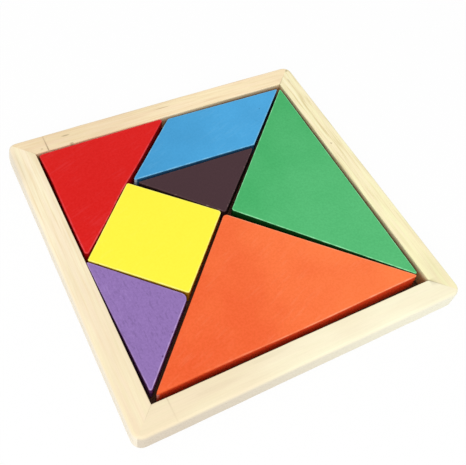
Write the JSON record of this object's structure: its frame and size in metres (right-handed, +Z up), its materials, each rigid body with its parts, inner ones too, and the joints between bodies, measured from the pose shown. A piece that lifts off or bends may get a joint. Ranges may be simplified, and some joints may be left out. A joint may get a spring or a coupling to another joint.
{
  "type": "tangram puzzle",
  "caption": "Dissection puzzle: flat painted wooden triangles, a square and a parallelogram that lie loosely in a square mitred tray of pale wood.",
  "frame": {"origin": "on the table under the middle of the square tray", "axes": "+Z up out of the tray; +X along the front rail to the right, +Y from the front rail to the back rail, so the finger joints are near -X"},
  "size_m": [0.115, 0.115, 0.008],
  "materials": {
    "rail_wood": "bare sanded pine",
    "base_wood": "bare brown hardboard",
    "orange_paint": "matt paint on wood",
    "green_paint": "matt paint on wood",
    "red_paint": "matt paint on wood",
    "blue_paint": "matt paint on wood",
    "yellow_paint": "matt paint on wood",
    "brown_paint": "matt paint on wood",
    "purple_paint": "matt paint on wood"
  },
  "bodies": {
    "root": {"front_rail": "rail_wood", "front_rail_end": "rail_wood", "right_rail": "rail_wood", "back_rail": "rail_wood", "back_rail_end": "rail_wood", "left_rail": "rail_wood", "base_board": "base_wood", "orange_large_triangle": "orange_paint", "green_large_triangle": "green_paint", "red_medium_triangle": "red_paint", "blue_parallelogram": "blue_paint", "yellow_square": "yellow_paint", "brown_small_triangle": "brown_paint", "purple_small_triangle": "purple_paint"}
  },
  "joints": []
}
